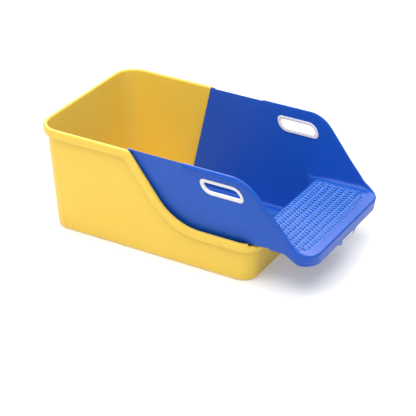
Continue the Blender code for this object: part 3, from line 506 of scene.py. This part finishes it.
    for a in np.radians([0, 15, 30, 45, 60, 75, 90]):
        rows.append(bordered(offset(zF + coveSize * (1 - math.sin(a)),
                                    -topThick - coveSize * (1 - math.cos(a)))))
    start = rows[-1].copy()
    corneredX = xOpenFront - surround["openingCorner"] * (1 - np.sin(corner))
    corneredY = yOpen - surround["openingCorner"] * (1 - np.cos(corner))
    yInner = np.where(zone == 0, yFootOpen, yFootOpen + (yOpen - yFootOpen)
                      * np.clip((zF - footZ) / (stepZ - footZ), 0, 1))
    slide = (xCorner - (xOpenFront - surround["openingCorner"]))
    xInner = xF - slide * smoothStep((xF - xCorner + 0.09) / 0.09) * (zone == 4)
    xInner = np.where(part == 0, xInner, np.where(part == 1, corneredX, xOpenFront))
    yInner = np.where(part == 0, yInner, np.where(part == 1, corneredY,
                      share * (yOpen - surround["openingCorner"])))
    inner = np.stack([xInner, yInner, zF], axis=1)
    for t in (0.2, 0.45, 0.7, 0.9, 1.0):
        rows.append(bordered(start + (inner - start) * t))
    into = np.stack([nx, 0 * nx, nz], axis=1) * thick[:, None]
    edge = rows[-1].copy()
    wallUnder = bordered(offset(zF, -surround["wall"]))
    wallUnder[:, 2] = zF
    for t in (0.0, 0.5, 1.0):
        rows.append(edge + (wallUnder - edge) * t + into)
    shelf = rows[-1]
    foot = offset(zLow + 0.0010, -surround["wall"])
    rows += [shelf + (foot - shelf) * 0.5, foot]
    rows += [offset(zLow + 0.0002, -surround["wall"] * 0.7), offset(zLow, -surround["wall"] * 0.45),
             offset(zLow + 0.0002, -surround["wall"] * 0.2)]
    left = np.array(rows)
    right = left[:, -2::-1] * np.array([1.0, -1.0, 1.0])
    piece = cappedSweep("surroundShell", np.concatenate([left, right], axis=1), blue)
    return finishMesh(piece)


def middleStrip(name, profile, halfAt, arcShare):
    # a closed profile of (x, z) carried across the middle, its ends where the side borders stop
    across = np.concatenate([-1 + 0.16 * np.linspace(0, 1, 8), np.linspace(-0.75, 0.75, 7),
                             1 - 0.16 * np.linspace(1, 0, 8)])
    y = halfAt[:, None] * across[None, :]
    gap = np.clip((halfWidth(profile[:, 1]) - surround["wall"])[:, None] - np.abs(y), 0, None)
    x = profile[:, :1] - riserArc(gap) * arcShare[:, None]
    z = np.broadcast_to(profile[:, 1:], x.shape)
    piece = cappedSweep(name, np.stack([x, y, z], axis=2), blue)
    return finishMesh(piece)


def riserPanel():
    line, zone = floorLine()
    use = (line[:, 0] > xRiser - surround["footBorder"]) & (line[:, 0] < xOpenRear - 0.0001)
    line = line[use]
    first = np.array([[xRiser - surround["footBorder"], footZ, 0.0, -1.0, 0.0040, 0.0]])
    last = np.array([[xOpenRear, stepZ, 0.0, -1.0, surround["deck"], 0.0]])
    line = np.vstack([first, line, last])
    face = line[:, :2]
    back = face + line[:, 2:4] * line[:, 4:5]
    profile = np.vstack([face, back[::-1]])
    climb = np.clip((line[:, 1] - footZ) / (stepZ - footZ), 0, 1)
    half = yFootOpen + (yOpen - yFootOpen) * climb
    arc = np.clip((line[:, 0] - (xRiser - surround["footBorder"])) / 0.008, 0, 1)
    return middleStrip("riserPanel", profile, np.concatenate([half, half[::-1]]),
                       np.concatenate([arc, arc[::-1]]))


def footSill():
    xBack = xRear + surround["backFoot"] + 0.0005
    xAhead = xRear + surround["backFoot"] + surround["footBorder"]
    loop = roundedLoop([(xBack, surround["footLevel"]), (xAhead, surround["footLevel"]),
                        (xAhead, footZ), (xBack, footZ)], [0.0004, 0.0004, 0.0004, 0.0015], 5)
    return middleStrip("footSill", loop, np.full(len(loop), yFootOpen), np.zeros(len(loop)))


# the hand slots: a white ring on each face of each side wall
grip = {"rear": 0.499, "length": 0.121, "height": 0.043, "lean": 0.013, "top": 0.278,
        "smallRadius": 0.011, "largeRadius": 0.034, "bezel": 0.009, "plate": 0.0018,
        "sleeve": 0.0016, "gap": 0.0003, "crease": 0.0042, "creaseDepth": 0.0012}


def gripLoop(inset, steps=14):
    # a rounded parallelogram, drawn in by the inset, in distances along and up the wall
    half, tall, lean = grip["length"] / 2, grip["height"] / 2, grip["lean"] / 2
    cross = inset * 0.95
    corners = [(-half - lean + cross, tall - inset), (half - lean - cross * 1.15, tall - inset),
               (half + lean - cross, -tall + inset), (-half + lean + cross * 1.15, -tall + inset)]
    small, large = grip["smallRadius"] - inset * 0.45, grip["largeRadius"] - inset
    return roundedLoop(corners, [small, large, small, large], steps)


def onWall(loop, height, side):
    # the loop laid on the side wall's outer face and lifted off it by a height
    draft = surround["draft"]
    size = math.hypot(1.0, draft)
    z = grip["top"] - grip["height"] / 2
    middle = np.array([xRear + grip["rear"] + (grip["length"] + grip["lean"]) / 2,
                       side * halfWidth(z), z])
    upWall = np.array([0.0, side * draft, 1.0]) / size
    outWall = np.array([0.0, side, -draft]) / size
    return (middle + loop[:, :1] * np.array([1.0, 0.0, 0.0]) + loop[:, 1:] * upWall
            + height * outWall)


def cutSlot(shell, side):
    loop = gripLoop(grip["bezel"] - grip["sleeve"] - 0.0005)
    points = np.array([onWall(loop, h, side) for h in (-0.02, 0.02)])
    count = len(loop)
    faces = gridFaces(2, count, loopColumns=True)
    faces += [list(range(count)), list(range(2 * count - 1, count - 1, -1))]
    cutter = finishMesh(makePiece("slotCutter", points, faces, blue))
    cut = shell.modifiers.new("Slot", "BOOLEAN")
    cut.operation = "DIFFERENCE"
    cut.solver = "EXACT"
    cut.object = cutter
    graph = bpy.context.evaluated_depsgraph_get()
    mesh = bpy.data.meshes.new_from_object(shell.evaluated_get(graph))
    shell.modifiers.clear()
    shell.data = mesh
    bpy.data.objects.remove(cutter, do_unlink=True)


def gripRing(name, side, profile):
    # a closed profile of (inset, height off the wall) carried round the slot's outline
    points = np.array([onWall(gripLoop(inset), height, side) for inset, height in profile])
    rows, columns = points.shape[:2]
    piece = makePiece(name, points, gridFaces(rows, columns, True, True), white)
    finishMesh(piece, 50.0)
    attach(piece, "surround")
    return piece


def outerProfile():
    g, gap = grip, grip["gap"]
    top = gap + g["plate"]
    deep = -surround["wall"] - gap - g["plate"]
    c = g["crease"]
    inner = g["bezel"]
    return [(0.0, gap), (0.0, gap + 0.0007), (0.0002, top - 0.0006), (0.0007, top - 0.0002),
            (0.0014, top - 0.0001), (c - 0.0014, top), (c - 0.0007, top - 0.0001),
            (c - 0.0004, top - g["creaseDepth"]), (c + 0.0004, top - g["creaseDepth"]),
            (c + 0.0007, top - 0.0001), (c + 0.0014, top), (inner - 0.0018, top),
            (inner - 0.0010, top - 0.0002), (inner - 0.0003, top - 0.0008), (inner, top - 0.0018),
            (inner, deep + 0.0008), (inner - 0.0002, deep + 0.0002), (inner - 0.0008, deep),
            (inner - g["sleeve"] + 0.0002, deep + 0.0002), (inner - g["sleeve"], deep + 0.0008),
            (inner - g["sleeve"], gap)]


def innerProfile():
    g, gap = grip, grip["gap"]
    near = -surround["wall"] - gap
    far = near - g["plate"]
    inner = g["bezel"] - g["sleeve"] - gap
    return [(0.0, near), (inner, near), (inner, far + 0.0003), (inner - 0.0005, far),
            (g["crease"], far), (0.0014, far + 0.0001), (0.0007, far + 0.0002),
            (0.0002, far + 0.0006), (0.0, far + 0.0012)]


shell = surroundShell()
for side in (1, -1):
    cutSlot(shell, side)
finishMesh(shell)
pieces = [shell, riserPanel(), footSill()]
for piece in pieces:
    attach(piece, "surround")
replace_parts(shell, "surround")
print("surround made:", len(shell.data.polygons), "faces")
for side, name in ((1, "left"), (-1, "right")):
    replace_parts(gripRing(name + "GripOuter", side, outerProfile()), name + "_grip_outer")
    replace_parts(gripRing(name + "GripInner", side, innerProfile()), name + "_grip_inner")
print("hand slots lined")

# the tread and the grate: perforated sheets that lie in the surround
tread = {"rows": 8, "columns": 29, "margin": 0.0070, "frontMargin": 0.0050, "holeLength": 0.0070,
         "holeWidth": 0.0058, "land": 0.0010, "dimple": 0.0034, "reliefFade": 0.005,
         "thickness": 0.0018, "clearance": 0.0005, "frontGap": 0.022, "cornerCut": 0.27}
grate = {"pitch": 0.0122, "hole": 0.0066, "margin": 0.016, "relief": 0.0004, "thickness": 0.0016}


def holeLines(centres, half, between, low, high):
    # lines across each hole at its edges and quarters, with evenly spaced lines between holes
    lines, kind = [], []
    gap = centres[1] - centres[0] - 2 * half
    for i, c in enumerate(centres):
        lines += [c - half, c - half / 2, c, c + half / 2, c + half]
        kind += [i] * 5
        if i < len(centres) - 1:
            lines += [c + half + gap * (k + 1) / (between + 1) for k in range(between)]
            kind += [-1] * between
    edge = lines[0] - low
    lead = [low, low + 0.0006, low + edge * 0.5]
    tail = [high - edge * 0.5, high - 0.0006, high]
    return np.array(lead + lines + tail), np.array([-1] * 3 + kind + [-1] * 3)


def fromCentre(values, centres):  # how far each value is past the nearest of evenly spaced centres
    nearest = np.round((values - centres[0]) / (centres[1] - centres[0])).astype(int)
    return values - centres[np.clip(nearest, 0, len(centres) - 1)]


def perforated(name, xs, ys, sizes, low, high, keep, height, thickness, cornerRadius, material):
    # a sheet on a grid whose lines frame every hole, with the holes' faces left out; near a front
    # corner each point is drawn in by (larger side distance) / (straight distance)
    xLines, xHole = holeLines(xs, sizes[0] / 2, 4 if len(xs) < 12 else 1, low[0], high[0])
    yLines, yHole = holeLines(ys, sizes[1] / 2, 3 if len(ys) == tread["columns"] else 1,
                              low[1], high[1])
    x, y = np.meshgrid(xLines, yLines, indexing="ij")
    inX = np.where(xHole[:-1] == xHole[1:], xHole[:-1], -1)
    inY = np.where(yHole[:-1] == yHole[1:], yHole[:-1], -1)
    hx, hy = np.meshgrid(inX, inY, indexing="ij")
    hole = (hx >= 0) & (hy >= 0)
    hole[hole] = keep(hx[hole], hy[hole])
    dx = fromCentre(x, xs) / (sizes[0] / 2)
    dy = fromCentre(y, ys) / (sizes[1] / 2)
    onCorner = (np.abs(np.abs(dx) - 1) < 0.01) & (np.abs(np.abs(dy) - 1) < 0.01)
    x = np.where(onCorner, x - dx * sizes[0] / 2 * tread["cornerCut"], x)
    y = np.where(onCorner, y - dy * sizes[1] / 2 * tread["cornerCut"], y)
    z = height(x, y)
    if cornerRadius > 0:
        u = np.clip((x - (high[0] - cornerRadius)) / cornerRadius, 0, 1)
        v = np.clip((np.abs(y) - (high[1] - cornerRadius)) / cornerRadius, 0, 1)
        pull = np.where((u > 0) & (v > 0), np.maximum(u, v) / np.maximum(np.hypot(u, v), 1e-9), 1.0)
        x = np.where(pull < 1, high[0] - cornerRadius + u * cornerRadius * pull, x)
        y = np.where(pull < 1, np.sign(y) * (high[1] - cornerRadius + v * cornerRadius * pull), y)
    points = np.stack([x, y, z], axis=2)
    faces = gridFaces(*x.shape, keep=~hole)
    piece = makePiece(name, points, faces, material)
    mesh = piece.data
    bm = bmesh.new()
    bm.from_mesh(mesh)
    loose = [v for v in bm.verts if not v.link_faces]
    bmesh.ops.delete(bm, geom=loose, context="VERTS")
    bmesh.ops.recalc_face_normals(bm, faces=bm.faces)
    if sum(face.normal.z for face in bm.faces) < 0:
        bmesh.ops.reverse_faces(bm, faces=bm.faces)
    bm.to_mesh(mesh)
    bm.free()
    mesh.shade_smooth()
    body = piece.modifiers.new("Thickness", "SOLIDIFY")
    body.thickness = thickness
    body.offset = -1.0
    return piece


def sharpEdges(piece, angle):
    graph = bpy.context.evaluated_depsgraph_get()
    mesh = bpy.data.meshes.new_from_object(piece.evaluated_get(graph))
    piece.modifiers.clear()
    piece.data = mesh
    mesh.shade_smooth()
    mesh.set_sharp_from_angle(angle=math.radians(angle))


def treadPanel():
    low, high = np.array(treadLow), np.array(treadHigh)
    margin = tread["margin"] - tread["clearance"]
    xs = np.linspace(low[0] + margin, high[0] - tread["frontMargin"], tread["rows"])
    ys = np.linspace(low[1] + margin, high[1] - margin, tread["columns"])
    xPitch, yPitch = xs[1] - xs[0], ys[1] - ys[0]

    def height(x, y):  # lands and dimples: the root of (minus cosine along times cosine across)
        wave = -np.cos(2 * math.pi * (x - xs[0]) / xPitch) * np.cos(2 * math.pi * (y - ys[0]) / yPitch)
        edge = np.minimum(np.minimum(x - low[0], high[0] - x), np.minimum(y - low[1], high[1] - y))
        wave = np.sign(wave) * np.sqrt(np.abs(wave))
        relief = np.where(wave > 0, tread["land"], tread["dimple"]) * wave
        return high[2] + relief * smoothStep(edge / tread["reliefFade"])

    def keep(i, j):
        return (i < tread["rows"] - 1) | (np.abs(ys[j]) < high[1] - tread["frontGap"])
    piece = perforated("treadPanel", xs, ys, (tread["holeLength"], tread["holeWidth"]), low, high,
                       keep, height, tread["thickness"],
                       surround["openingCorner"] - tread["clearance"], insertBlue)
    sharpEdges(piece, 45.0)
    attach(piece, "tread")
    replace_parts(piece, "tread_panel")
    return piece


def footGrate():
    low, high = np.array(grateLow), np.array(grateHigh)
    span = high - low - 2 * grate["margin"]
    countX, countY = int(span[0] / grate["pitch"]) | 1, int(span[1] / grate["pitch"]) | 1
    xs = np.linspace(low[0] + grate["margin"], high[0] - grate["margin"], countX)
    ys = np.linspace(low[1] + grate["margin"], high[1] - grate["margin"], countY)

    def height(x, y):
        wave = np.cos(2 * math.pi * (x - xs[0]) / (2 * (xs[1] - xs[0]))) \
            * np.cos(2 * math.pi * (y - ys[0]) / (2 * (ys[1] - ys[0])))
        edge = np.minimum(np.minimum(x - low[0], high[0] - x), np.minimum(y - low[1], high[1] - y))
        return high[2] - grate["relief"] * (1 + wave * smoothStep(edge / 0.01)) / 2

    def keep(i, j):
        return (i + j) % 2 == 0
    piece = perforated("footGrate", xs, ys, (grate["hole"], grate["hole"]), low, high, keep, height,
                       grate["thickness"], 0.0, insertBlue)
    sharpEdges(piece, 45.0)
    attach(piece, "surround")
    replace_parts(piece, "foot_grate")
    return piece


print("tread made:", len(treadPanel().data.polygons), "faces")
print("grate made:", len(footGrate().data.polygons), "faces")

# the marks on the tab under the lip: a row of plain slanted bars
marks = {"count": 7, "length": 0.0098, "width": 0.0054, "spacing": 0.0090, "slant": 0.0018,
         "lift": 0.0010, "standOff": 0.0003}


def tabMarks():
    badgeLow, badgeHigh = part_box("front_badge")
    zMiddle = (badgeLow[2] + badgeHigh[2]) / 2
    points, faces = [], []
    for i in range(marks["count"]):
        yMiddle = (i - (marks["count"] - 1) / 2) * marks["spacing"]
        half, tall = marks["width"] / 2, marks["length"] / 2
        loop = roundedLoop([(-half, -tall), (half, -tall), (half, tall), (-half, tall)], [0.0012] * 4, 5)
        middle = loop.mean(axis=0)
        for scale, height in ((1.0, 0.0), (1.0, 0.7), (0.94, 0.93), (0.84, 1.0), (0.0, 1.0)):
            ring = middle + (loop - middle) * scale
            z = zMiddle + ring[:, 1]
            x = lipFront(z) + marks["standOff"] + marks["lift"] * height
            y = yMiddle + ring[:, 0] + ring[:, 1] * marks["slant"] / tall
            points.append(np.stack([x, y, z], axis=1))
    count = len(points[0])
    for i in range(marks["count"]):
        base = i * 5 * count
        faces += [[base + v for v in f] for f in gridFaces(5, count, loopColumns=True)]
        faces.append([base + k for k in reversed(range(count))])
    piece = finishMesh(makePiece("tabMarks", np.array(points), faces, white))
    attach(piece, "surround")
    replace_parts(piece, "front_badge")


tabMarks()
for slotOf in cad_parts["catch_tray"].material_slots:
    slotOf.material = insertBlue
print("marks and tray done")

# the floor, the lights and the camera
studio = {"floor": (0.82, 0.82, 0.82), "floorGlow": 0.22, "sky": 0.41, "keyPower": 22.0,
          "keyPlace": (-0.9, -1.9, 3.0), "keySize": 2.8, "topPower": 98.0,
          "topPlace": (0.2, -0.4, 2.7), "topSize": 3.2, "backPower": 80.0,
          "backPlace": (-1.9, 2.9, 2.1), "backSize": 1.9}
view = {"place": (1.91909, -3.47892, 2.24499), "toward": (-0.42446702, 0.76676729, -0.48155548),
        "roll": 0.9256, "lens": 143.775}


def areaLight(name, place, aim, power, size):
    lamp = bpy.data.lights.new(name, "AREA")
    lamp.energy = power
    lamp.size = size
    light = bpy.data.objects.new(name, lamp)
    bpy.context.scene.collection.objects.link(light)
    light.location = place
    light.rotation_euler = (Vector(aim) - Vector(place)).to_track_quat("-Z", "Y").to_euler()


def layStudio():
    mesh = bpy.data.meshes.new("paleFloor")
    mesh.from_pydata([(-12, -12, -0.0004), (12, -12, -0.0004), (12, 12, -0.0004), (-12, 12, -0.0004)],
                     [], [(0, 1, 2, 3)])
    floor = bpy.data.objects.new("paleFloor", mesh)
    bpy.context.scene.collection.objects.link(floor)
    paper = bpy.data.materials.new("paleFloor")
    paper.use_nodes = True
    shader = paper.node_tree.nodes["Principled BSDF"]
    shader.inputs["Base Color"].default_value = (*studio["floor"], 1.0)
    shader.inputs["Roughness"].default_value = 0.9
    shader.inputs["Specular IOR Level"].default_value = 0.1
    shader.inputs["Emission Color"].default_value = (1.0, 1.0, 1.0, 1.0)
    shader.inputs["Emission Strength"].default_value = studio["floorGlow"]
    mesh.materials.append(paper)
    world = bpy.data.worlds.new("softWorld")
    world.use_nodes = True
    sky = world.node_tree.nodes["Background"]
    sky.inputs["Color"].default_value = (1.0, 1.0, 1.0, 1.0)
    sky.inputs["Strength"].default_value = studio["sky"]
    bpy.context.scene.world = world
    areaLight("key", studio["keyPlace"], (0.0, 0.0, 0.1), studio["keyPower"], studio["keySize"])
    areaLight("overhead", studio["topPlace"], (0.1, 0.0, 0.1), studio["topPower"], studio["topSize"])
    areaLight("back", studio["backPlace"], (0.1, 0.0, 0.1), studio["backPower"], studio["backSize"])
    bpy.context.scene.view_settings.view_transform = "Standard"


def setCamera():
    lens = bpy.data.cameras.new("mainView")
    lens.lens = view["lens"]
    lens.sensor_width = 36.0
    camera = bpy.data.objects.new("mainView", lens)
    bpy.context.scene.collection.objects.link(camera)
    turn = Vector(view["toward"]).to_track_quat("-Z", "Y").to_matrix().to_4x4()
    camera.matrix_world = (Matrix.Translation(view["place"]) @ turn
                           @ Matrix.Rotation(math.radians(view["roll"]), 4, "Z"))
    bpy.context.scene.camera = camera


layStudio()
setCamera()
print("studio ready")
